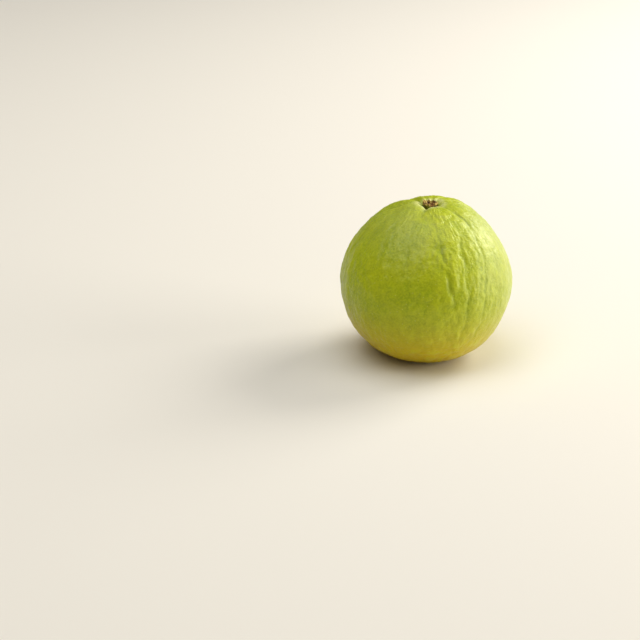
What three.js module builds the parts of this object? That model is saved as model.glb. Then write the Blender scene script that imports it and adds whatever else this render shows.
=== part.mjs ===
// A guava, the round fruit of the tree Psidium guajava, standing on its flower end.
// Millimetres, +Z up. The origin is on the surface that the fruit rests on, under the
// middle of its width and depth, and -Y is the front.
//
// The skin and flesh grew as one piece, so they are one solid. The pieces of its own are
// the woody stub of the stalk, in the hollow of the crown, and the five dried sepals that
// fold into the basin underneath.
//
// Azimuths are degrees round the fruit from the front, positive towards +X. Latitudes are
// degrees above the middle of the fruit.

import * as THREE from 'three';

const { MathUtils } = THREE;
const { degToRad, radToDeg, smoothstep } = MathUtils;

// The whole fruit
const WIDEST_RADIUS = 49.7;
const WIDEST_HEIGHT = 43;
const CREST_RADIUS = 9.5;
const CREST_HEIGHT = 88;
const CROWN_RIGHT = 1.5; // how far the crown sits to the right of the base
const CROWN_BACK = 6.5; // how far it sits behind the base
// Lengths of the Bezier handles that round the outline above and below the widest ring, as
// shares of the way to the corner. A quarter of an ellipse has 0.55.
const SHOULDER_ROUND = 0.5;
const BELLY_ROUND = 0.54;

// The hollow round the stalk
const LIP_RADIUS = 5.9;
const LIP_DROP = 1.8; // below the crest
const LIP_ROUND = 1.2; // length of the handles that turn the lip over into the hollow
const HOLLOW_WALL_RADIUS = 5.3;
const HOLLOW_FLOOR_RADIUS = 4.4;
const HOLLOW_DEPTH = 9;
const PLAIN_RADIUS = 4.7; // inside this radius the hollow has no relief
const RELIEF_RADIUS = 6.5; // from this radius outwards the relief is whole

// The flat ring that the fruit rests on, and the basin of the flower end inside it
const REST_OUTER_RADIUS = 14;
const REST_INNER_RADIUS = 9.6;
const BASIN_WALL_RADIUS = 7.9;
const BASIN_ROOF_RADIUS = 5.5;
const BASIN_DEPTH = 6.2;
const RELIEF_FADES = 138; // degrees from the stalk, from where the relief dies out
const RELIEF_ENDS = 162; // degrees from the stalk, just outside the resting ring

// Swellings and flats of the body
const BULGES = [
  { azimuth: 92, latitude: 36, spread: 26, height: -0.6 },
  { azimuth: 85, latitude: -28, spread: 22, height: -1 },
  { azimuth: 140, latitude: 72, spread: 15, height: 1.2 },
  { azimuth: -85, latitude: 66, spread: 12, height: -1.4 },
  { azimuth: -68, latitude: 76, spread: 12, height: 1.5 },
  { azimuth: 32, latitude: 78, spread: 9, height: 0.6 },
  { azimuth: 176, latitude: 70, spread: 14, height: -0.4 },
];

// Creases that run out from the hollow between the lobes of the crown. Reach is the angle
// from the stalk at which a crease has died out.
const CREASES = [
  { azimuth: -17, depth: 1.3, spread: 12, reach: 32 },
  { azimuth: 54, depth: 1.1, spread: 9, reach: 62 },
  { azimuth: 86, depth: 0.8, spread: 7, reach: 42 },
  { azimuth: 107, depth: 1.4, spread: 7, reach: 50 },
  { azimuth: 146, depth: 1, spread: 8, reach: 48 },
  { azimuth: 166, depth: 1.2, spread: 8, reach: 20 },
  { azimuth: -172, depth: 1.2, spread: 8, reach: 20 },
  { azimuth: -146, depth: 2.1, spread: 10, reach: 48 },
  { azimuth: -104, depth: 1.2, spread: 9, reach: 46 },
];

// Low ribs down the sides. Drift is how far, in radians of its own wave, a set of ribs
// wanders sideways on its way down.
const RIBS = [
  { count: 7, height: 0.3, drift: 1.6 },
  { count: 12, height: 0.2, drift: -2.3 },
];

// The stub of the stalk
const STUB_RADIUS = 4.6;
const STUB_HEIGHT = 9;
const STUB_OFFSET = 0.5; // to the right of the middle of the hollow
const STUB_TEETH = 5; // points left standing round the rim where the stalk broke off
const STUB_TOOTH_HEIGHT = 0.5;
const STUB_COLUMNS = 30;
// Half a section, from the foot up the side to the sunken pith in the middle, as shares of
// the radius and of the height
const STUB_OUTLINE = [
  [0, 0],
  [0.68, 0],
  [0.66, 0.4],
  [0.94, 0.78],
  [1, 0.94],
  [0.82, 1],
  [0.5, 0.84],
  [0, 0.8],
];

// The sepals
const SEPAL_COUNT = 5;
const SEPAL_WIDTH = 6;
const SEPAL_LENGTH = 6;
const SEPAL_THICKNESS = 0.8;
const SEPAL_ROOT_RADIUS = 7.3;
const SEPAL_ROOT_HEIGHT = 2; // above the surface that the fruit rests on
const SEPAL_SAG = 0.7; // of the middle of a sepal, below the line from root to tip
const SEPAL_CUP = 0.3; // of the long edges, above the middle
const SEPAL_POINT = 0.08; // width of the tip, as a share of the root's
const SEPAL_COLUMNS = 4;
const SEPAL_ROWS = 7;

// Mesh density of the fruit
const COLUMNS = 88;
const ROWS = [5, 1, 15, 16, 4, 4, 1]; // basin, ring, belly, shoulder, rim, hollow and floor

const GAP = 0.3; // kept between pieces that touch on the real fruit
const UP = new THREE.Vector3(0, 0, 1);
const MIDDLE = new THREE.Vector3(0, 0, CREST_HEIGHT / 2);

const skin = new THREE.MeshStandardMaterial({ color: 0xa9bd3a, roughness: 0.42, metalness: 0 });
const wood = new THREE.MeshStandardMaterial({ color: 0x8a6a3c, roughness: 0.85, metalness: 0 });
const driedLeaf = new THREE.MeshStandardMaterial({ color: 0x7b6a3e, roughness: 0.8, metalness: 0 });

// One at the middle of a feature, dying out smoothly over its spread.
function falloff(distance, spread) {
  return Math.exp(-((distance / spread) ** 2));
}

// Degrees between two azimuths, the short way round.
function azimuthGap(a, b) {
  const gap = Math.abs(a - b) % 360;
  return Math.min(gap, 360 - gap);
}

// Unit vector from the middle of the fruit towards an azimuth and a latitude.
function towards({ azimuth, latitude }) {
  const around = degToRad(azimuth);
  const up = degToRad(latitude);
  const level = Math.cos(up);
  return new THREE.Vector3(Math.sin(around) * level, -Math.cos(around) * level, Math.sin(up));
}

// Leans a point with the crown: not at all at the base, and fully at the crest.
function lean(point) {
  const share = (Math.max(point.z, 0) / CREST_HEIGHT) ** 3;
  point.x += CROWN_RIGHT * share;
  point.y += CROWN_BACK * share;
}

// Half a section of the fruit, from the roof of the basin underneath, out along the resting
// ring, round the widest ring and over the crest to the floor of the hollow.
function outline() {
  const floor = CREST_HEIGHT - HOLLOW_DEPTH;
  const lip = CREST_HEIGHT - LIP_DROP;
  const wall = (lip + floor) / 2;
  const rim = (LIP_RADIUS + CREST_RADIUS) / 2;
  const under = MathUtils.lerp(REST_OUTER_RADIUS, WIDEST_RADIUS, BELLY_ROUND);
  const belly = MathUtils.lerp(WIDEST_HEIGHT, 0, BELLY_ROUND);
  const over = MathUtils.lerp(CREST_RADIUS, WIDEST_RADIUS, SHOULDER_ROUND);
  const shoulder = MathUtils.lerp(WIDEST_HEIGHT, CREST_HEIGHT, SHOULDER_ROUND);
  const path = new THREE.Path();
  path.moveTo(0, BASIN_DEPTH);
  path.bezierCurveTo(
    BASIN_ROOF_RADIUS, BASIN_DEPTH, BASIN_WALL_RADIUS, BASIN_DEPTH / 2, REST_INNER_RADIUS, 0,
  );
  path.lineTo(REST_OUTER_RADIUS, 0);
  path.bezierCurveTo(under, 0, WIDEST_RADIUS, belly, WIDEST_RADIUS, WIDEST_HEIGHT);
  path.bezierCurveTo(WIDEST_RADIUS, shoulder, over, CREST_HEIGHT, CREST_RADIUS, CREST_HEIGHT);
  path.bezierCurveTo(
    rim, CREST_HEIGHT, LIP_RADIUS + LIP_ROUND, lip + LIP_ROUND, LIP_RADIUS, lip,
  );
  path.bezierCurveTo(
    HOLLOW_WALL_RADIUS, wall, HOLLOW_WALL_RADIUS, floor, HOLLOW_FLOOR_RADIUS, floor,
  );
  path.lineTo(0, floor);
  return path.curves.flatMap((curve, i) => curve.getSpacedPoints(ROWS[i]).slice(i ? 1 : 0));
}

// How far the skin stands out from the plain outline at a point, along its normal.
function relief(point) {
  const arm = point.clone().sub(MIDDLE);
  const azimuth = radToDeg(Math.atan2(point.x, -point.y));
  const fromStalk = radToDeg(arm.angleTo(UP));
  const girth = Math.hypot(point.x, point.y);
  const outsideHollow = smoothstep(girth, PLAIN_RADIUS, RELIEF_RADIUS);
  const aboveRing = 1 - smoothstep(fromStalk, RELIEF_FADES, RELIEF_ENDS);
  let height = 0;
  for (const bulge of BULGES) {
    const gap = radToDeg(arm.angleTo(towards(bulge)));
    height += bulge.height * falloff(gap, bulge.spread);
  }
  for (const crease of CREASES) {
    const fade = 1 - smoothstep(fromStalk, crease.reach / 3, crease.reach);
    const gap = azimuthGap(azimuth, crease.azimuth);
    height -= crease.depth * fade * falloff(gap, crease.spread);
  }
  for (const rib of RIBS) {
    const drift = rib.drift * Math.sin(degToRad(2 * fromStalk + azimuth));
    const wave = Math.sin(rib.count * degToRad(azimuth) + drift);
    height += rib.height * wave * Math.sin(degToRad(fromStalk)) ** 2;
  }
  return height * outsideHollow * aboveRing;
}

// Moves every vertex of a geometry to where a function puts it.
function reshape(geometry, move) {
  const places = geometry.attributes.position;
  const normals = geometry.attributes.normal;
  const point = new THREE.Vector3();
  const normal = new THREE.Vector3();
  for (let i = 0; i < places.count; i += 1) {
    point.fromBufferAttribute(places, i);
    normal.fromBufferAttribute(normals, i);
    move(point, normal);
    places.setXYZ(i, point.x, point.y, point.z);
  }
  geometry.computeVertexNormals();
  return geometry;
}

// The skin and flesh: the outline turned about the stalk, then given its relief.
function fruitGeometry() {
  const body = new THREE.LatheGeometry(outline(), COLUMNS);
  body.rotateX(Math.PI / 2);
  return reshape(body, (point, normal) => {
    point.addScaledVector(normal, relief(point));
    lean(point);
  });
}

// The stub: waisted at the foot, flared at the top and broken off raggedly.
function stubGeometry() {
  const foot = CREST_HEIGHT - HOLLOW_DEPTH + GAP;
  const profile = STUB_OUTLINE.map(
    ([out, up]) => new THREE.Vector2(out * STUB_RADIUS, foot + up * STUB_HEIGHT),
  );
  const stub = new THREE.LatheGeometry(profile, STUB_COLUMNS);
  stub.rotateX(Math.PI / 2);
  return reshape(stub, (point) => {
    const tooth = Math.sin(STUB_TEETH * Math.atan2(point.x, -point.y));
    const outward = Math.hypot(point.x, point.y) / STUB_RADIUS;
    const upward = smoothstep(point.z, foot, foot + STUB_HEIGHT);
    point.z += STUB_TOOTH_HEIGHT * tooth * outward * upward;
    point.x += STUB_OFFSET;
    lean(point);
  });
}

// One sepal: a thin pointed leaf, cupped along its length and sagging in the middle, with
// its root under the wall of the basin and its tip towards the middle.
function sepalGeometry() {
  const leaf = new THREE.BoxGeometry(
    SEPAL_WIDTH, SEPAL_LENGTH, SEPAL_THICKNESS, SEPAL_COLUMNS, SEPAL_ROWS, 1,
  );
  return reshape(leaf, (point) => {
    const along = point.y / SEPAL_LENGTH + 0.5; // 0 at the root and 1 at the tip
    const across = point.x / (SEPAL_WIDTH / 2);
    const taper = Math.sqrt(Math.max(Math.cos(along * Math.PI / 2), 0));
    point.x *= Math.max(taper, SEPAL_POINT);
    point.z += SEPAL_CUP * across ** 2 * taper - SEPAL_SAG * Math.sin(along * Math.PI);
    point.z += SEPAL_ROOT_HEIGHT;
    point.y -= SEPAL_ROOT_RADIUS - SEPAL_LENGTH / 2;
  });
}

function piece(name, geometry, material) {
  const mesh = new THREE.Mesh(geometry, material.clone());
  mesh.name = name;
  return mesh;
}

const guava = new THREE.Group();
const fruit = piece('fruit', fruitGeometry(), skin);
guava.add(fruit, piece('stalk_stub', stubGeometry(), wood));
for (let i = 0; i < SEPAL_COUNT; i += 1) {
  const sepal = piece(`sepal_${i + 1}`, sepalGeometry(), driedLeaf);
  sepal.rotation.z = i * 2 * Math.PI / SEPAL_COUNT;
  guava.add(sepal);
}

// The origin goes under the middle of the fruit's width and depth.
fruit.geometry.computeBoundingBox();
const centre = fruit.geometry.boundingBox.getCenter(new THREE.Vector3());
guava.position.set(-centre.x, -centre.y, 0);

export default guava;
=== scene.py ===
from math import atan2, cos, degrees, exp, hypot, pi, radians, sin

import bmesh
import bpy
from mathutils import Matrix, Vector, noise
from mathutils.geometry import interpolate_bezier


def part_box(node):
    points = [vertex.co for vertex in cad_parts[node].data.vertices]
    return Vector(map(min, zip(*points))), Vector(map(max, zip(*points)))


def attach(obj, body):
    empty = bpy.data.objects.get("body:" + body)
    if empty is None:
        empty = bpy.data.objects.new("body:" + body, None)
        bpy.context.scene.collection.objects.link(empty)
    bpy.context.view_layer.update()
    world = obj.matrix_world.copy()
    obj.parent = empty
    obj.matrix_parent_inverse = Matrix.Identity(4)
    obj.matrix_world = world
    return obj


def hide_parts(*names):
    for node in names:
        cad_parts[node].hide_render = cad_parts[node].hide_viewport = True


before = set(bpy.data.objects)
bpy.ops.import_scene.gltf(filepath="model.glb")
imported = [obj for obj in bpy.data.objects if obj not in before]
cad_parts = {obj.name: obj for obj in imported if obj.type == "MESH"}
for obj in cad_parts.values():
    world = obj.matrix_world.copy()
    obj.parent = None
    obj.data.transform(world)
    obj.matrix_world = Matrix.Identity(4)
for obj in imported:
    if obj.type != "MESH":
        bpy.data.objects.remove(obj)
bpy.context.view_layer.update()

# ---------------------------------------------------------------------------
# The skin and flesh. A guava grows as one piece from the base of its flower:
# firm flesh under a thin, waxy, yellow-green skin, drawn into lobes round the
# stalk, furrowed and lumpy down its sides, and hollowed at the flower end.
# ---------------------------------------------------------------------------

mm = 0.001
widest_radius = 49.7 * mm
widest_height = 43 * mm
crest_radius = 9.5 * mm
crest_height = 88 * mm
shoulder_round = 0.5  # Bezier handles above and below the widest ring, as shares
belly_round = 0.54  # of the way to the corner
crown_right = 1.5 * mm  # how far the crown sits to the right of the base, and behind it
crown_back = 6.5 * mm

lip_radius = 5.9 * mm
lip_drop = 1.8 * mm
lip_round = 1.2 * mm
hollow_wall_radius = 5.3 * mm
hollow_floor_radius = 4.4 * mm
hollow_depth = 9 * mm
plain_radius = 4.7 * mm  # inside this the hollow has no relief
relief_radius = 6.5 * mm  # and from here outwards it is whole

rest_outer_radius = 14 * mm
rest_inner_radius = 9.6 * mm
basin_wall_radius = 7.9 * mm
basin_roof_radius = 5.5 * mm
basin_depth = 6.2 * mm
relief_fades = 138  # degrees from the stalk, from where the relief dies out
relief_ends = 162  # degrees from the stalk, just outside the resting ring

skin_columns = 480

# azimuth from the front, latitude, spread and height of the swellings of the body
bulges = (
    (92, 36, 26, -0.6 * mm),
    (85, -28, 22, -1.0 * mm),
    (140, 72, 15, 1.2 * mm),
    (-85, 66, 12, -1.4 * mm),
    (-68, 76, 12, 1.5 * mm),
    (32, 78, 9, 0.6 * mm),
    (176, 70, 14, -0.4 * mm),
)

# azimuth, depth, spread and reach of the creases between the lobes of the crown; reach
# is the angle from the stalk at which a crease has died out
creases = (
    (-17, 1.3 * mm, 12, 32),
    (54, 1.1 * mm, 9, 62),
    (86, 1.0 * mm, 5, 42),
    (107, 1.7 * mm, 5, 50),
    (146, 1.1 * mm, 6, 48),
    (166, 1.3 * mm, 7, 20),
    (-172, 1.3 * mm, 7, 20),
    (-146, 2.3 * mm, 9, 48),
    (-122, 1.2 * mm, 14, 18),
    (-104, 1.2 * mm, 9, 46),
)

# count, height and sideways drift of the low ribs
ribs = ((7, 0.3 * mm, 1.6), (12, 0.2 * mm, -2.3))

# azimuth at the widest ring, its change for each degree of latitude, lowest and highest
# latitude, height and width of the long folds; a furrow's height is below nothing
folds = (
    (15.5, -0.2, -16, 80, -0.46 * mm, 1.4 * mm),
    (18.5, -0.08, -38, 58, 0.26 * mm, 1.6 * mm),
    (24.5, 0.1, -34, 64, -0.32 * mm, 1.2 * mm),
    (31, 0.15, -30, 70, 0.2 * mm, 1.6 * mm),
    (39, 0.22, -40, 84, -0.38 * mm, 1.3 * mm),
    (46, 0.2, -44, 60, 0.15 * mm, 1.7 * mm),
    (54, 0.16, -14, 50, -0.16 * mm, 1.5 * mm),
    (66, 0.1, -36, 56, 0.18 * mm, 1.9 * mm),
    (75, 0.1, -30, 50, -0.17 * mm, 1.8 * mm),
    (101, -0.1, -26, 64, -0.42 * mm, 1.5 * mm),
    (106, -0.12, -40, 60, 0.26 * mm, 1.8 * mm),
    (127, 0.15, -36, 66, -0.38 * mm, 1.5 * mm),
    (134, 0.1, -30, 68, 0.22 * mm, 1.7 * mm),
    (156, -0.2, -20, 70, -0.42 * mm, 1.4 * mm),
    (163, -0.1, -38, 60, 0.24 * mm, 1.6 * mm),
    (-168, 0.15, -34, 60, -0.36 * mm, 1.5 * mm),
    (-158, 0.1, -20, 66, 0.22 * mm, 1.8 * mm),
    (-141, -0.15, -24, 66, -0.4 * mm, 1.4 * mm),
    (-128, -0.1, -40, 58, 0.2 * mm, 1.7 * mm),
    (-112, 0.1, -30, 62, -0.34 * mm, 1.6 * mm),
    (-97, 0.1, -36, 50, 0.2 * mm, 1.9 * mm),
    (-84, 0.1, -16, 64, -0.3 * mm, 1.8 * mm),
    (-70, -0.1, -24, 60, 0.18 * mm, 2.0 * mm),
    (-57, -0.25, 4, 74, -0.26 * mm, 1.8 * mm),
    (-46, -0.2, -10, 66, 0.16 * mm, 2.0 * mm),
    (-36, -0.2, 6, 70, -0.24 * mm, 1.9 * mm),
    (-12, -0.2, 10, 72, -0.2 * mm, 1.6 * mm),
)
fold_fade = 26  # degrees of latitude over which a fold starts and ends
fold_wander = 2.2 * mm  # how far its line strays, and how long each stray is
fold_stray = 8 * mm
fold_strength = 0.9  # mean share of its height, and how far that varies on the way
fold_variety = 1.1
fold_cutoff = 3  # widths from its line, past which a fold is nothing
other_noise = Vector((9, 0, 0))  # moves a lookup to another part of the noise

wrinkle_height = 0.36 * mm
wrinkle_width = 3.2 * mm
wrinkle_length = 6.5 * mm
wrinkle_warp = 9 * mm
wrinkle_seed = 2  # without a fixed seed the warp comes out different on every run
wrinkle_softness = 0.01  # rounds the bottom of the creases
wrinkles_start = 5  # degrees from the stalk, and where they have their whole height
wrinkles_whole = 24
lump_height = 0.31 * mm
lump_size = 4.2 * mm
bead_height = 0.12 * mm
bead_size = 1.9 * mm

# azimuth, spread and change in the lumps' height of the two smoother cheeks and of the
# lumpier strip between them
cheeks = ((-38, 50, -0.15), (80, 35, -0.3), (10, 24, 0.5))

# the paler and darker parts of the skin: the pale cheek at the right and the pale shoulder at
# the upper left are painted sheen, the shaded cheek is painted shade with some of its greenness
# the skin's own, the pale rim round the crown is a painted highlight, the dark hollow is painted
# shade and the cork of the basin is the skin's own colour; azimuths, spreads, and the degrees
# from the stalk between which each comes in or dies out
pale_cheek = 88
pale_cheek_spread = 42
pale_cheek_starts = 10
pale_cheek_whole = 50
pale_shoulder = -50
pale_shoulder_spread = 60
pale_shoulder_fades = 30
pale_shoulder_ends = 70
pale_shoulder_share = 0.35
shaded_cheek = -95
shaded_cheek_spread = 50
shade_starts = 68
shade_whole = 104
pale_rim_radius = 8.2 * mm
pale_rim_width = 1.8 * mm
dark_hollow_radius = 5 * mm
dark_hollow_ends = 6.4 * mm
cork_ends = rest_inner_radius + 1.5 * mm

middle = Vector((0, 0, crest_height / 2))


def blend_in(value, start, end):
    """0 before start, 1 after end, and smooth between them."""
    share = min(max((value - start) / (end - start), 0), 1)
    return share * share * (3 - 2 * share)


def falloff(distance, spread):
    return exp(-((distance / spread) ** 2))


def turn(azimuth, start):
    """Signed degrees from start to azimuth, the short way round."""
    return (azimuth - start + 180) % 360 - 180


def towards(azimuth, latitude):
    """Unit vector from the middle of the fruit."""
    around = radians(azimuth)
    up = radians(latitude)
    return Vector((sin(around) * cos(up), -cos(around) * cos(up), sin(up)))


def arc(start, first, second, end, steps):
    """Points along one Bezier arc of an outline in (radius, height), without its first."""
    corners = [Vector((radius, 0, height)) for radius, height in (start, first, second, end)]
    return interpolate_bezier(*corners, steps + 1)[1:]


def skin_outline():
    """Half a section: basin, resting ring, belly, shoulder, rim, hollow and its floor."""
    floor = crest_height - hollow_depth
    lip = crest_height - lip_drop
    wall = (lip + floor) / 2
    rim = (lip_radius + crest_radius) / 2
    under = rest_outer_radius + (widest_radius - rest_outer_radius) * belly_round
    belly = widest_height * (1 - belly_round)
    over = crest_radius + (widest_radius - crest_radius) * shoulder_round
    shoulder = widest_height + (crest_height - widest_height) * shoulder_round
    roof = (0, basin_depth)
    ring_in = (rest_inner_radius, 0)
    ring_out = (rest_outer_radius, 0)
    widest = (widest_radius, widest_height)
    crest = (crest_radius, crest_height)
    edge = (lip_radius, lip)
    foot = (hollow_floor_radius, floor)
    points = [Vector((0, 0, basin_depth))]
    points += arc(roof, (basin_roof_radius, basin_depth),
                  (basin_wall_radius, basin_depth / 2), ring_in, steps=14)
    points += arc(ring_in, ring_in, ring_out, ring_out, steps=4)
    points += arc(ring_out, (under, 0), (widest_radius, belly), widest, steps=66)
    points += arc(widest, (widest_radius, shoulder), (over, crest_height), crest, steps=80)
    points += arc(crest, (rim, crest_height),
                  (lip_radius + lip_round, lip + lip_round), edge, steps=16)
    points += arc(edge, (hollow_wall_radius, wall), (hollow_wall_radius, floor), foot, steps=12)
    points += arc(foot, foot, (0, floor), (0, floor), steps=4)
    return points


def groove_depth(azimuth, from_stalk, tightness):
    """Depth of the creases between the lobes, drawn narrower with more tightness."""
    total = 0
    for around, depth, spread, reach in creases:
        fade = 1 - blend_in(from_stalk, reach / 3, reach)
        total += depth * fade * falloff(turn(azimuth, around) * tightness, spread)
    return total


def body_relief(place, azimuth, from_stalk):
    """Swellings, grooves and ribs: the large relief, which the frame's solid has too."""
    arm = place - middle
    height = -groove_depth(azimuth, from_stalk, 1)
    for around, latitude, spread, rise in bulges:
        gap = degrees(arm.angle(towards(around, latitude)))
        height += rise * falloff(gap, spread)
    for count, rise, drift in ribs:
        sideways = drift * sin(radians(2 * from_stalk + azimuth))
        wave = sin(count * radians(azimuth) + sideways)
        height += rise * wave * sin(radians(from_stalk)) ** 2
    return height


def fold_relief(place, azimuth, latitude):
    """Long broken folds, of an even width however near the stalk they run."""
    girth = hypot(place.x, place.y)
    stray = fold_wander * noise.noise(place / fold_stray)
    waxing = noise.noise(place / fold_stray + other_noise)
    broken = fold_strength + fold_variety * waxing
    height = 0
    for around, drift, bottom, top, rise, width in folds:
        gap = radians(turn(azimuth, around + drift * latitude)) * girth + stray
        if abs(gap) < fold_cutoff * width:
            inside = blend_in(latitude, bottom, bottom + fold_fade)
            inside *= 1 - blend_in(latitude, top - fold_fade, top)
            height += rise * broken * inside * falloff(gap, width)
    return height


def lump_relief(place, azimuth, from_stalk):
    """Lumps parted by short creases, drawn out a little from stalk to flower end."""
    around = radians(azimuth)
    turns = widest_radius / wrinkle_width
    down = radians(from_stalk) * widest_radius / wrinkle_length
    warp = noise.noise_vector(place / wrinkle_warp)
    spot = Vector((sin(around) * turns, -cos(around) * turns, down)) + warp
    crease = (noise.noise(spot) ** 2 + wrinkle_softness) ** 0.5
    height = wrinkle_height * crease * blend_in(from_stalk, wrinkles_start, wrinkles_whole)
    height += lump_height * noise.noise(place / lump_size)
    height += bead_height * noise.noise(spot * (wrinkle_width / bead_size))
    return height


noise.seed_set(wrinkle_seed)
bm = bmesh.new()
line = [bm.verts.new(point) for point in skin_outline()]
edges = [bm.edges.new(pair) for pair in zip(line, line[1:])]
bmesh.ops.spin(bm, geom=line + edges, cent=(0, 0, 0), axis=(0, 0, 1), angle=2 * pi,
               steps=skin_columns, use_merge=True)
bmesh.ops.remove_doubles(bm, verts=bm.verts, dist=0.002 * mm)
bmesh.ops.recalc_face_normals(bm, faces=bm.faces)
bm.normal_update()
fold_layer = bm.verts.layers.float.new("fold")
groove_layer = bm.verts.layers.float.new("groove")
rim_highlight_layer = bm.verts.layers.float.new("rim")
shade_layer = bm.verts.layers.float.new("shade")
painted_sheen_layer = bm.verts.layers.float.new("painted_sheen")
hollow_shade_layer = bm.verts.layers.float.new("hollow")
basin_layer = bm.verts.layers.float.new("basin")
for vert in bm.verts:
    place = vert.co.copy()
    girth = hypot(place.x, place.y)
    azimuth = degrees(atan2(place.x, -place.y))
    from_stalk = degrees((place - middle).angle(Vector((0, 0, 1))))
    outside_hollow = blend_in(girth, plain_radius, relief_radius)
    above_ring = 1 - blend_in(from_stalk, relief_fades, relief_ends)
    fine = lump_relief(place, azimuth, from_stalk)
    for around, spread, change in cheeks:
        fine *= 1 + change * falloff(turn(azimuth, around), spread)
    fine += fold_relief(place, azimuth, 90 - from_stalk)
    large = body_relief(place, azimuth, from_stalk)
    vert.co += vert.normal * (large + fine) * outside_hollow * above_ring
    vert[fold_layer] = fine / mm * outside_hollow * above_ring
    # depth of the crown's creases, which darkens the skin's colour there as painted shade
    vert[groove_layer] = groove_depth(azimuth, from_stalk, 2) / mm * outside_hollow
    if place.z > middle.z:
        # a pale band along the crest round the crown: painted highlight
        vert[rim_highlight_layer] = falloff(girth - pale_rim_radius, pale_rim_width)
        # darker inside the hollow round the stalk: painted shade
        vert[hollow_shade_layer] = 1 - blend_in(girth, dark_hollow_radius, dark_hollow_ends)
    else:
        vert[basin_layer] = 1 - blend_in(girth, basin_wall_radius, cork_ends)
    # a pale cheek at the right and a pale shoulder at the upper left: painted sheen
    cheek = falloff(turn(azimuth, pale_cheek), pale_cheek_spread)
    cheek *= blend_in(from_stalk, pale_cheek_starts, pale_cheek_whole)
    shoulder = falloff(turn(azimuth, pale_shoulder), pale_shoulder_spread)
    shoulder *= 1 - blend_in(from_stalk, pale_shoulder_fades, pale_shoulder_ends)
    vert[painted_sheen_layer] = cheek + shoulder * pale_shoulder_share
    # a darker, greener lower left cheek: painted shade, with some of the greenness the skin's own
    shaded = falloff(turn(azimuth, shaded_cheek), shaded_cheek_spread)
    vert[shade_layer] = shaded * blend_in(from_stalk, shade_starts, shade_whole)
    lean = (max(vert.co.z, 0) / crest_height) ** 3
    vert.co += Vector((crown_right * lean, crown_back * lean, 0))

skin_mesh = bpy.data.meshes.new("skin")
bm.to_mesh(skin_mesh)
bm.free()
skin_mesh.shade_smooth()
skin = bpy.data.objects.new("skin", skin_mesh)
bpy.context.scene.collection.objects.link(skin)

low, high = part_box("fruit")
across = [vert.co.x for vert in skin_mesh.vertices]
along = [vert.co.y for vert in skin_mesh.vertices]
shift_x = (low.x + high.x - min(across) - max(across)) / 2
shift_y = (low.y + high.y - min(along) - max(along)) / 2
skin_mesh.transform(Matrix.Translation((shift_x, shift_y, 0)))


def plug(tree, socket, value):
    """Give a socket a link where value is an output, or a plain value."""
    if isinstance(value, bpy.types.NodeSocket):
        tree.links.new(value, socket)
    else:
        socket.default_value = value


def mixed(tree, share, first, second):
    """The colour that is share of the way from first to second."""
    made = tree.nodes.new("ShaderNodeMix")
    made.data_type = "RGBA"
    plug(tree, made.inputs[0], share)
    plug(tree, made.inputs[6], first)
    plug(tree, made.inputs[7], second)
    return made.outputs[2]


def reckoned(tree, operation, *values):
    made = tree.nodes.new("ShaderNodeMath")
    made.operation = operation
    for socket, value in zip(made.inputs, values):
        plug(tree, socket, value)
    return made.outputs[0]


def ramped(tree, value, start, end, first=0.0, last=1.0):
    """A smooth step of value from first at start to last at end."""
    made = tree.nodes.new("ShaderNodeMapRange")
    made.interpolation_type = "SMOOTHSTEP"
    plug(tree, made.inputs["Value"], value)
    plug(tree, made.inputs["From Min"], start)
    plug(tree, made.inputs["From Max"], end)
    plug(tree, made.inputs["To Min"], first)
    plug(tree, made.inputs["To Max"], last)
    return made.outputs["Result"]


def tinted(tree, colour, tint, mask, strength):
    """Turn a colour towards a tint where the mask is, by up to strength."""
    return mixed(tree, reckoned(tree, "MULTIPLY", mask, strength), colour, tint)


def raised(tree, height, mask, rise):
    """Add a mask to a height in millimetres, by up to rise."""
    return reckoned(tree, "MULTIPLY_ADD", mask, rise, height)


def new_group(name, *numbers):
    """A node group with a Vector and some number inputs, and one Mask output."""
    group = bpy.data.node_groups.new(name, "ShaderNodeTree")
    group.interface.new_socket("Vector", in_out="INPUT", socket_type="NodeSocketVector")
    for number in numbers:
        group.interface.new_socket(number, in_out="INPUT", socket_type="NodeSocketFloat")
    group.interface.new_socket("Mask", in_out="OUTPUT", socket_type="NodeSocketFloat")
    return group, group.nodes.new("NodeGroupInput"), group.nodes.new("NodeGroupOutput")


def placed(tree, group, vector, **numbers):
    """Put a group in a material with its own values, and return its mask."""
    made = tree.nodes.new("ShaderNodeGroup")
    made.node_tree = group
    plug(tree, made.inputs["Vector"], vector)
    for name, value in numbers.items():
        plug(tree, made.inputs[name], value)
    return made.outputs["Mask"]


# Mottle: soft clouds of one size, from 0 to 1, harder-edged with more contrast.
mottle, taken, given = new_group("mottle", "Size", "Contrast")
cloud = mottle.nodes.new("ShaderNodeTexNoise")
cloud.inputs["Detail"].default_value = 3
mottle.links.new(taken.outputs["Vector"], cloud.inputs["Vector"])
mottle.links.new(reckoned(mottle, "DIVIDE", 1.0, taken.outputs["Size"]), cloud.inputs["Scale"])
half_width = reckoned(mottle, "DIVIDE", 0.5, taken.outputs["Contrast"])
mottle.links.new(ramped(mottle, cloud.outputs[0], reckoned(mottle, "SUBTRACT", 0.5, half_width),
                        reckoned(mottle, "ADD", 0.5, half_width)), given.inputs["Mask"])

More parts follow.
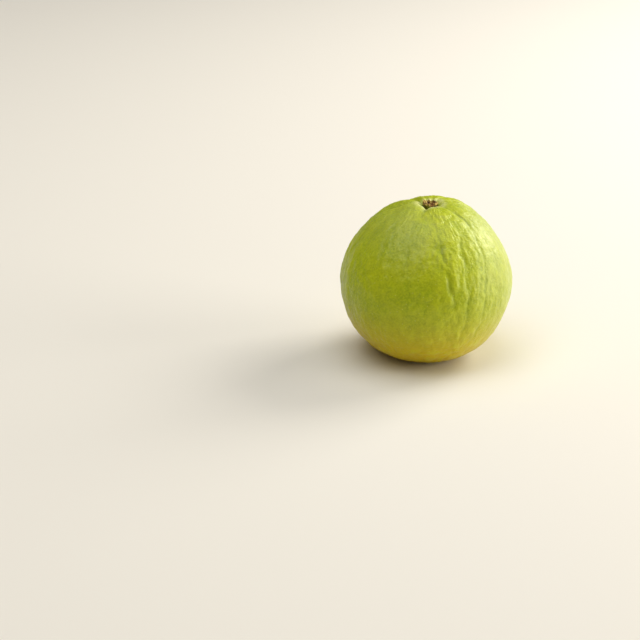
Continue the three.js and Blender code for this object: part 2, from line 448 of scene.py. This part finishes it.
# Dots: round spots of uneven size at about one spacing, in a share of the places.
dots, taken, given = new_group("dots", "Spacing", "Radius", "Share")
cells = dots.nodes.new("ShaderNodeTexVoronoi")
split = dots.nodes.new("ShaderNodeSeparateColor")
dots.links.new(taken.outputs["Vector"], cells.inputs["Vector"])
dots.links.new(reckoned(dots, "DIVIDE", 1.0, taken.outputs["Spacing"]), cells.inputs["Scale"])
dots.links.new(cells.outputs["Color"], split.inputs["Color"])
reach = reckoned(dots, "DIVIDE", taken.outputs["Radius"], taken.outputs["Spacing"])
core = reckoned(dots, "MULTIPLY", reach, 0.5)
spot_mask = ramped(dots, cells.outputs["Distance"], core, reach, 1.0, 0.0)
kept = reckoned(dots, "LESS_THAN", split.outputs[0], taken.outputs["Share"])
dots.links.new(reckoned(dots, "MULTIPLY", spot_mask, kept), given.inputs["Mask"])

# Streaks: clouds drawn out along the piece's own height.
streaks, taken, given = new_group("streaks", "Width", "Length", "Contrast")
squeeze = streaks.nodes.new("ShaderNodeCombineXYZ")
scaled = streaks.nodes.new("ShaderNodeVectorMath")
scaled.operation = "MULTIPLY"
cloud = streaks.nodes.new("ShaderNodeTexNoise")
cloud.inputs["Scale"].default_value = 1
cloud.inputs["Detail"].default_value = 2
per_width = reckoned(streaks, "DIVIDE", 1.0, taken.outputs["Width"])
streaks.links.new(per_width, squeeze.inputs["X"])
streaks.links.new(per_width, squeeze.inputs["Y"])
streaks.links.new(reckoned(streaks, "DIVIDE", 1.0, taken.outputs["Length"]), squeeze.inputs["Z"])
streaks.links.new(taken.outputs["Vector"], scaled.inputs[0])
streaks.links.new(squeeze.outputs[0], scaled.inputs[1])
streaks.links.new(scaled.outputs[0], cloud.inputs["Vector"])
half_width = reckoned(streaks, "DIVIDE", 0.5, taken.outputs["Contrast"])
streaks.links.new(ramped(streaks, cloud.outputs[0], reckoned(streaks, "SUBTRACT", 0.5, half_width),
                         reckoned(streaks, "ADD", 0.5, half_width)), given.inputs["Mask"])


def new_material(name):
    made = bpy.data.materials.new(name)
    made.use_nodes = True
    tree = made.node_tree
    place = tree.nodes.new("ShaderNodeTexCoord").outputs["Object"]
    return made, tree, tree.nodes["Principled BSDF"], place


def attribute(tree, name):
    made = tree.nodes.new("ShaderNodeAttribute")
    made.attribute_name = name
    return made.outputs["Fac"]


def bumped(tree, shader, height):
    """Feed a height in millimetres to the shader as bump."""
    made = tree.nodes.new("ShaderNodeBump")
    made.inputs["Strength"].default_value = 1
    made.inputs["Distance"].default_value = mm
    tree.links.new(height, made.inputs["Height"])
    tree.links.new(made.outputs["Normal"], shader.inputs["Normal"])


# skin colours; the yellow, the cream and some greens also serve as painted highlight, sheen and
# shade where the masks below put them
leaf_green = (0.34, 0.45, 0.0, 1)
yellow_green = (0.465, 0.53, 0.0, 1)
streak_and_ridge_highlight_yellow = (0.61, 0.65, 0.015, 1)
lenticel_and_rim_highlight_cream = (0.74, 0.74, 0.25, 1)
mottle_and_furrow_shade_green = (0.245, 0.31, 0.0, 1)
painted_shade_green = (0.17, 0.26, 0.0, 1)
groove_shade_green = (0.12, 0.18, 0.0, 1)
golden_and_bounce_light = (0.66, 0.46, 0.0, 1)
painted_sheen_cream = (0.54, 0.58, 0.23, 1)
painted_hollow_shade = (0.07, 0.075, 0.004, 1)
cork = (0.16, 0.095, 0.035, 1)

skin_material, tree, shader, place = new_material("waxy_skin")
height_up = tree.nodes.new("ShaderNodeSeparateXYZ")
tree.links.new(place, height_up.inputs[0])
fold = attribute(tree, "fold")
patches = placed(tree, mottle, place, Size=17 * mm, Contrast=2.6)
blotches = placed(tree, mottle, place, Size=7 * mm, Contrast=2.4)
clouds = placed(tree, mottle, place, Size=3.2 * mm, Contrast=2.2)
flecks = placed(tree, mottle, place, Size=1.1 * mm, Contrast=2.0)
bands = placed(tree, streaks, place, Width=3.4 * mm, Length=22 * mm, Contrast=2.4)
lenticels = placed(tree, dots, place, Spacing=2.3 * mm, Radius=0.34 * mm, Share=0.8)
pores = placed(tree, dots, place, Spacing=1.15 * mm, Radius=0.2 * mm, Share=0.7)
blossom_end = ramped(tree, height_up.outputs["Z"], start=46 * mm, end=0.0)

# paler on the ridges of the fine relief as painted highlight, and darker in its furrows as painted
# shade
lit_edges = ramped(tree, fold, start=0.0, end=0.45)
furrow_shade = ramped(tree, fold, start=0.05, end=-0.6)
# darker in the crown's creases: painted shade
grooves = ramped(tree, attribute(tree, "groove"), start=0.3, end=1.5)
colour = mixed(tree, patches, leaf_green, yellow_green)
# the lower left cheek darkened: painted shade
colour = tinted(tree, colour, painted_shade_green, mask=attribute(tree, "shade"), strength=0.75)
colour = tinted(tree, colour, streak_and_ridge_highlight_yellow, mask=bands, strength=0.2)
colour = tinted(tree, colour, mottle_and_furrow_shade_green, mask=blotches, strength=0.22)
colour = tinted(tree, colour, mottle_and_furrow_shade_green, mask=clouds, strength=0.4)
colour = tinted(tree, colour, streak_and_ridge_highlight_yellow, mask=flecks, strength=0.6)
# yellower towards the base: partly the skin's own colour and partly painted warm light bounced up
# from below
colour = tinted(tree, colour, golden_and_bounce_light, mask=blossom_end, strength=0.95)
colour = tinted(tree, colour, streak_and_ridge_highlight_yellow, mask=lit_edges, strength=0.4)
colour = tinted(tree, colour, mottle_and_furrow_shade_green, mask=furrow_shade, strength=0.55)
colour = tinted(tree, colour, groove_shade_green, mask=grooves, strength=0.7)
# the pale cheek and shoulder: painted sheen
colour = tinted(tree, colour, painted_sheen_cream, mask=attribute(tree, "painted_sheen"), strength=0.5)
colour = tinted(tree, colour, lenticel_and_rim_highlight_cream, mask=lenticels, strength=0.4)
colour = tinted(tree, colour, mottle_and_furrow_shade_green, mask=pores, strength=0.35)
# the pale band along the crown's crest: painted highlight
colour = tinted(tree, colour, lenticel_and_rim_highlight_cream, mask=attribute(tree, "rim"), strength=0.65)
# the dark hollow round the stalk: painted shade
colour = tinted(tree, colour, painted_hollow_shade, mask=attribute(tree, "hollow"), strength=0.9)
colour = mixed(tree, attribute(tree, "basin"), colour, cork)
tree.links.new(colour, shader.inputs["Base Color"])

height = raised(tree, 0.0, flecks, rise=0.06)
height = raised(tree, height, clouds, rise=0.25)
height = raised(tree, height, lenticels, rise=0.03)
height = raised(tree, height, pores, rise=-0.05)
bumped(tree, shader, height)
gloss = ramped(tree, clouds, start=0.0, end=1.0, first=0.36, last=0.48)
tree.links.new(gloss, shader.inputs["Roughness"])
shader.inputs["Specular IOR Level"].default_value = 0.38
shader.inputs["Specular Tint"].default_value = (1, 1, 0.8, 1)
shader.inputs["Coat Weight"].default_value = 0.06
shader.inputs["Coat Roughness"].default_value = 0.32
shader.inputs["Subsurface Weight"].default_value = 0.12
shader.inputs["Subsurface Radius"].default_value = (1, 0.9, 0.2)
shader.inputs["Subsurface Scale"].default_value = 2 * mm
skin_mesh.materials.append(skin_material)
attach(skin, "root")
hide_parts("fruit")

# ---------------------------------------------------------------------------
# The stub of the stalk. The green, woody stalk that carried the fruit, snapped
# off in its hollow: olive bark round a broken, browned and splintered end. It
# still grows out of the hollow's floor.
# ---------------------------------------------------------------------------

stub_low, stub_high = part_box("stalk_stub")
stub_middle = (stub_low + stub_high) / 2
stub_radius = (stub_high.x - stub_low.x) / 2
stub_foot = stub_low.z
stub_rise = 0.2 * mm  # of the rim above the frame's solid
stub_rim = stub_high.z - stub_foot + stub_rise
stub_columns = 128
stub_hollow = 0.9 * mm  # how far the broken end sinks in its middle

# azimuth, half width in degrees and height of the splinters left on the rim
splinters = (
    (-118, 34, 0.9 * mm),
    (-66, 14, -0.8 * mm),
    (-30, 16, 0.2 * mm),
    (15, 24, -1.0 * mm),
    (74, 17, 0.9 * mm),
    (112, 13, -0.6 * mm),
    (158, 20, -0.3 * mm),
)
splinter_roughness = 1.1 * mm
splinter_size = 1.3 * mm
bark_ridge_height = 0.5 * mm
bark_ridges = 7  # noise cells across the stub
bark_ridge_length = 5 * mm
end_starts = 0.6  # share of the height from where a level surface is the broken end
ragged_from = 0.45  # share of the height from where the splinters raise the stub
tan_from = 0.86  # share of the height from where the splinters' edges are tan


def stub_outline():
    """Half a section: foot, waisted side, flared rim and the sunken broken end."""
    waist = stub_radius * 0.9
    flare = stub_radius * 0.99
    inner = stub_radius * 0.72
    foot = (stub_radius * 0.92, 0)
    side_top = (flare, stub_rim * 0.94)
    rim_top = (stub_radius * 0.9, stub_rim)
    dish = (inner, stub_rim - stub_hollow * 0.7)
    end = (0, stub_rim - stub_hollow)
    points = [Vector((0, 0, 0))]
    points += arc((0, 0), (0, 0), foot, foot, steps=3)
    points += arc(foot, (waist, stub_rim * 0.3), (waist, stub_rim * 0.6), side_top, steps=22)
    points += arc(side_top, (flare, stub_rim), rim_top, rim_top, steps=5)
    points += arc(rim_top, rim_top, (inner, stub_rim), dish, steps=6)
    points += arc(dish, (inner / 2, end[1]), (inner / 4, end[1]), end, steps=16)
    return points


bm = bmesh.new()
line = [bm.verts.new(point) for point in stub_outline()]
edges = [bm.edges.new(pair) for pair in zip(line, line[1:])]
bmesh.ops.spin(bm, geom=line + edges, cent=(0, 0, 0), axis=(0, 0, 1), angle=2 * pi,
               steps=stub_columns, use_merge=True)
bmesh.ops.remove_doubles(bm, verts=bm.verts, dist=0.002 * mm)
bmesh.ops.recalc_face_normals(bm, faces=bm.faces)
bm.normal_update()
end_layer = bm.verts.layers.float.new("broken_end")
edge_layer = bm.verts.layers.float.new("splinter")
for vert in bm.verts:
    place = vert.co.copy()
    girth = hypot(place.x, place.y)
    azimuth = degrees(atan2(place.x, -place.y))
    up = place.z / stub_rim
    at_end = blend_in(vert.normal.z, 0.2, 0.8) * blend_in(up, end_starts, end_starts + 0.2)
    outward = blend_in(girth, stub_radius * 0.3, stub_radius * 0.9)
    ragged = splinter_roughness * noise.noise(place / splinter_size)
    chip = 0
    for around, width, rise in splinters:
        near = falloff(turn(azimuth, around), width)
        ragged += rise * near * outward
        chip += near if rise > 0 else 0
    around = radians(azimuth)
    grain = Vector((sin(around) * bark_ridges / 2, -cos(around) * bark_ridges / 2,
                    place.z / bark_ridge_length))
    swell = bark_ridge_height * noise.noise(grain) * blend_in(up, 0, 0.3) * outward
    vert.co += Vector((place.x, place.y, 0)) / stub_radius * swell
    vert.co.z += ragged * blend_in(up, ragged_from, 1)
    vert[end_layer] = at_end
    outer = blend_in(girth, stub_radius * 0.62, stub_radius * 0.84)
    vert[edge_layer] = chip * outer * blend_in(up, tan_from, tan_from + 0.11)
    vert.co += Vector((stub_middle.x, stub_middle.y, stub_foot))

stub_mesh = bpy.data.meshes.new("stalk_end")
bm.to_mesh(stub_mesh)
bm.free()
stub_mesh.shade_smooth()
stub = bpy.data.objects.new("stalk_end", stub_mesh)
bpy.context.scene.collection.objects.link(stub)

bark_olive = (0.3, 0.31, 0.02, 1)
bark_brown = (0.13, 0.085, 0.015, 1)
broken_red = (0.27, 0.11, 0.03, 1)
broken_dark = (0.035, 0.018, 0.005, 1)
dry_tan = (0.72, 0.52, 0.13, 1)

stub_material, tree, shader, place = new_material("broken_stalk")
bark_grain = placed(tree, streaks, place, Width=0.5 * mm, Length=3 * mm, Contrast=2.6)
bark_patches = placed(tree, mottle, place, Size=2.0 * mm, Contrast=4.0)
splits = placed(tree, mottle, place, Size=0.95 * mm, Contrast=3.4)
tan_patches = ramped(tree, bark_patches, start=0.4, end=0.8)
torn = ramped(tree, splits, start=0.2, end=0.7, first=0.4, last=1.0)
bark = mixed(tree, bark_patches, bark_olive, bark_brown)
bark = tinted(tree, bark, broken_dark, mask=bark_grain, strength=0.45)
broken = mixed(tree, splits, broken_dark, broken_red)
broken = tinted(tree, broken, dry_tan, mask=tan_patches, strength=0.75)
colour = mixed(tree, attribute(tree, "broken_end"), bark, broken)
colour = tinted(tree, colour, dry_tan, mask=attribute(tree, "splinter"), strength=torn)
tree.links.new(colour, shader.inputs["Base Color"])
height = raised(tree, 0.0, splits, rise=0.25)
height = raised(tree, height, bark_grain, rise=-0.12)
bumped(tree, shader, height)
dullness = ramped(tree, splits, start=0.0, end=1.0, first=0.65, last=0.9)
tree.links.new(dullness, shader.inputs["Roughness"])
shader.inputs["Specular IOR Level"].default_value = 0.15
stub_mesh.materials.append(stub_material)
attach(stub, "root")
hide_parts("stalk_stub")

# ---------------------------------------------------------------------------
# The sepals. Five leaves of the flower's cup, dried to brown paper and curled
# over the basin at the flower end, each rooted under the basin's wall.
# ---------------------------------------------------------------------------

sepal_count = 5
sepal_width = 6 * mm
sepal_length = 6 * mm
sepal_thickness = 0.45 * mm
sepal_root_radius = 7.3 * mm
sepal_root_height = 2 * mm
sepal_sag = 0.7 * mm
sepal_cup = 0.5 * mm
sepal_point = 0.08
sepal_crumple = 0.45 * mm
sepal_crumple_size = 1.8 * mm
sepal_tip_curl = 0.9 * mm
vein_height = 0.12 * mm
veins = 5
sepal_columns = 14
sepal_rows = 18
pale_side = 0.75  # share of the half width from where a sepal's edge is pale
pale_tip = 0.88  # shares of the length from where its tip is pale, and from where it curls
curl_from = 0.6
root_crumple = 0.3  # share of the crumpling that the root has
another_sepal = 9 * mm  # sets the crumpling of one sepal apart from the next one's

leaf_brown = (0.2, 0.11, 0.045, 1)
leaf_dark = (0.07, 0.035, 0.015, 1)
leaf_edge = (0.4, 0.28, 0.13, 1)

sepal_material, tree, shader, place = new_material("dried_sepal")
leaf_clouds = placed(tree, mottle, place, Size=1.6 * mm, Contrast=2.8)
leaf_specks = placed(tree, mottle, place, Size=0.4 * mm, Contrast=2.4)
colour = mixed(tree, leaf_clouds, leaf_brown, leaf_dark)
colour = mixed(tree, attribute(tree, "leaf_rim"), colour, leaf_edge)
colour = tinted(tree, colour, leaf_edge, mask=attribute(tree, "vein"), strength=0.5)
colour = tinted(tree, colour, leaf_dark, mask=leaf_specks, strength=0.3)
tree.links.new(colour, shader.inputs["Base Color"])
height = raised(tree, 0.0, leaf_specks, rise=0.08)
height = raised(tree, height, leaf_clouds, rise=0.1)
bumped(tree, shader, height)
dullness = ramped(tree, leaf_clouds, start=0.0, end=1.0, first=0.6, last=0.8)
tree.links.new(dullness, shader.inputs["Roughness"])
shader.inputs["Specular IOR Level"].default_value = 0.3

for number in range(1, sepal_count + 1):
    name = f"sepal_{number}"
    bm = bmesh.new()
    bmesh.ops.create_grid(bm, x_segments=sepal_columns, y_segments=sepal_rows, size=0.5)
    vein_layer = bm.verts.layers.float.new("vein")
    leaf_rim_layer = bm.verts.layers.float.new("leaf_rim")
    for vert in bm.verts:
        across = 2 * vert.co.x
        out = vert.co.y + 0.5  # 0 at the root and 1 at the tip
        taper = max(cos(out * pi / 2) ** 0.5 if out < 1 else 0, sepal_point)
        vein = max(cos(across * veins * pi / 2), 0) ** 3 * (1 - out)
        vert[vein_layer] = vein
        pale = max(blend_in(abs(across), pale_side, 1), blend_in(out, pale_tip, 1))
        vert[leaf_rim_layer] = pale
        sideways = across * sepal_width / 2 * taper
        spot = Vector((sideways, out * sepal_length, number * another_sepal))
        height = sepal_cup * across ** 2 * taper - sepal_sag * sin(out * pi)
        crumple = noise.noise(spot / sepal_crumple_size) * (root_crumple + out)
        height += sepal_crumple * crumple
        height += sepal_tip_curl * blend_in(out, curl_from, 1) + vein_height * vein
        vert.co = Vector((spot.x, spot.y - sepal_root_radius, sepal_root_height + height))
    bmesh.ops.recalc_face_normals(bm, faces=bm.faces)
    bmesh.ops.solidify(bm, geom=bm.faces, thickness=sepal_thickness)
    around = (number - 1) * 2 * pi / sepal_count
    bmesh.ops.rotate(bm, verts=bm.verts, cent=(0, 0, 0), matrix=Matrix.Rotation(around, 3, "Z"))
    sepal_mesh = bpy.data.meshes.new("leaf_" + name)
    bm.to_mesh(sepal_mesh)
    bm.free()
    sepal_mesh.shade_smooth()
    low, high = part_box(name)
    across = [vert.co.x for vert in sepal_mesh.vertices]
    along = [vert.co.y for vert in sepal_mesh.vertices]
    shift_x = (low.x + high.x - min(across) - max(across)) / 2
    shift_y = (low.y + high.y - min(along) - max(along)) / 2
    sepal_mesh.transform(Matrix.Translation((shift_x, shift_y, 0)))
    sepal_mesh.materials.append(sepal_material)
    sepal = bpy.data.objects.new("leaf_" + name, sepal_mesh)
    bpy.context.scene.collection.objects.link(sepal)
    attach(sepal, "root")
    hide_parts(name)

# ---------------------------------------------------------------------------
# The studio: a round pale floor, two soft windows at the right, the higher one a little
# behind, a broad light overhead, a weak one at the left and a white surround.
# ---------------------------------------------------------------------------

floor_radius = 1.3
floor_cream = (0.86, 0.81, 0.71, 1)
daylight = (1, 0.98, 0.94)
white = (1, 1, 1)
surround_light = 0.1  # how strongly the surround lights the object
surround_seen = 1.0  # and how bright the camera sees it
camera_place = (-0.0616, -1.0273, 0.4394)
camera_tilt = 67.7  # degrees up from looking straight down

floor_mesh = bpy.data.meshes.new("floor")
bm = bmesh.new()
bmesh.ops.create_circle(bm, cap_ends=True, segments=128, radius=floor_radius)
bm.to_mesh(floor_mesh)
bm.free()
floor = bpy.data.objects.new("floor", floor_mesh)
bpy.context.scene.collection.objects.link(floor)
floor_material, _, shader, _ = new_material("pale_floor")
shader.inputs["Base Color"].default_value = floor_cream
shader.inputs["Roughness"].default_value = 0.9
floor_mesh.materials.append(floor_material)


def soft_light(name, place, size, watts, colour):
    lamp = bpy.data.lights.new(name, "AREA")
    lamp.shape = "SQUARE"
    lamp.size = size
    lamp.energy = watts
    lamp.color = colour
    holder = bpy.data.objects.new(name, lamp)
    holder.location = place
    holder.rotation_euler = (Vector(place) - middle).to_track_quat("Z", "Y").to_euler()
    bpy.context.scene.collection.objects.link(holder)


soft_light("window", (1.5, -0.2, 0.36), size=0.9, watts=14, colour=daylight)
soft_light("high_window", (1.05, 0.75, 0.75), size=0.8, watts=17, colour=daylight)
soft_light("overhead", (-0.2, 0.1, 2.4), size=2.0, watts=30, colour=white)
soft_light("left_fill", (-0.8, -0.6, 1.6), size=0.9, watts=5, colour=white)

world = bpy.data.worlds.new("surround")
world.use_nodes = True
tree = world.node_tree
background = tree.nodes["Background"]
background.inputs["Color"].default_value = (1, 1, 1, 1)
seen = tree.nodes.new("ShaderNodeLightPath").outputs["Is Camera Ray"]
strength = ramped(tree, seen, start=0.0, end=1.0, first=surround_light, last=surround_seen)
tree.links.new(strength, background.inputs["Strength"])
bpy.context.scene.world = world
bpy.context.scene.view_settings.view_transform = "Standard"

lens = bpy.data.cameras.new("camera")
lens.lens = 106.3
lens.sensor_width = 36
camera = bpy.data.objects.new("camera", lens)
camera.location = camera_place
camera.rotation_euler = (radians(camera_tilt), 0, 0)
bpy.context.scene.collection.objects.link(camera)
bpy.context.scene.camera = camera
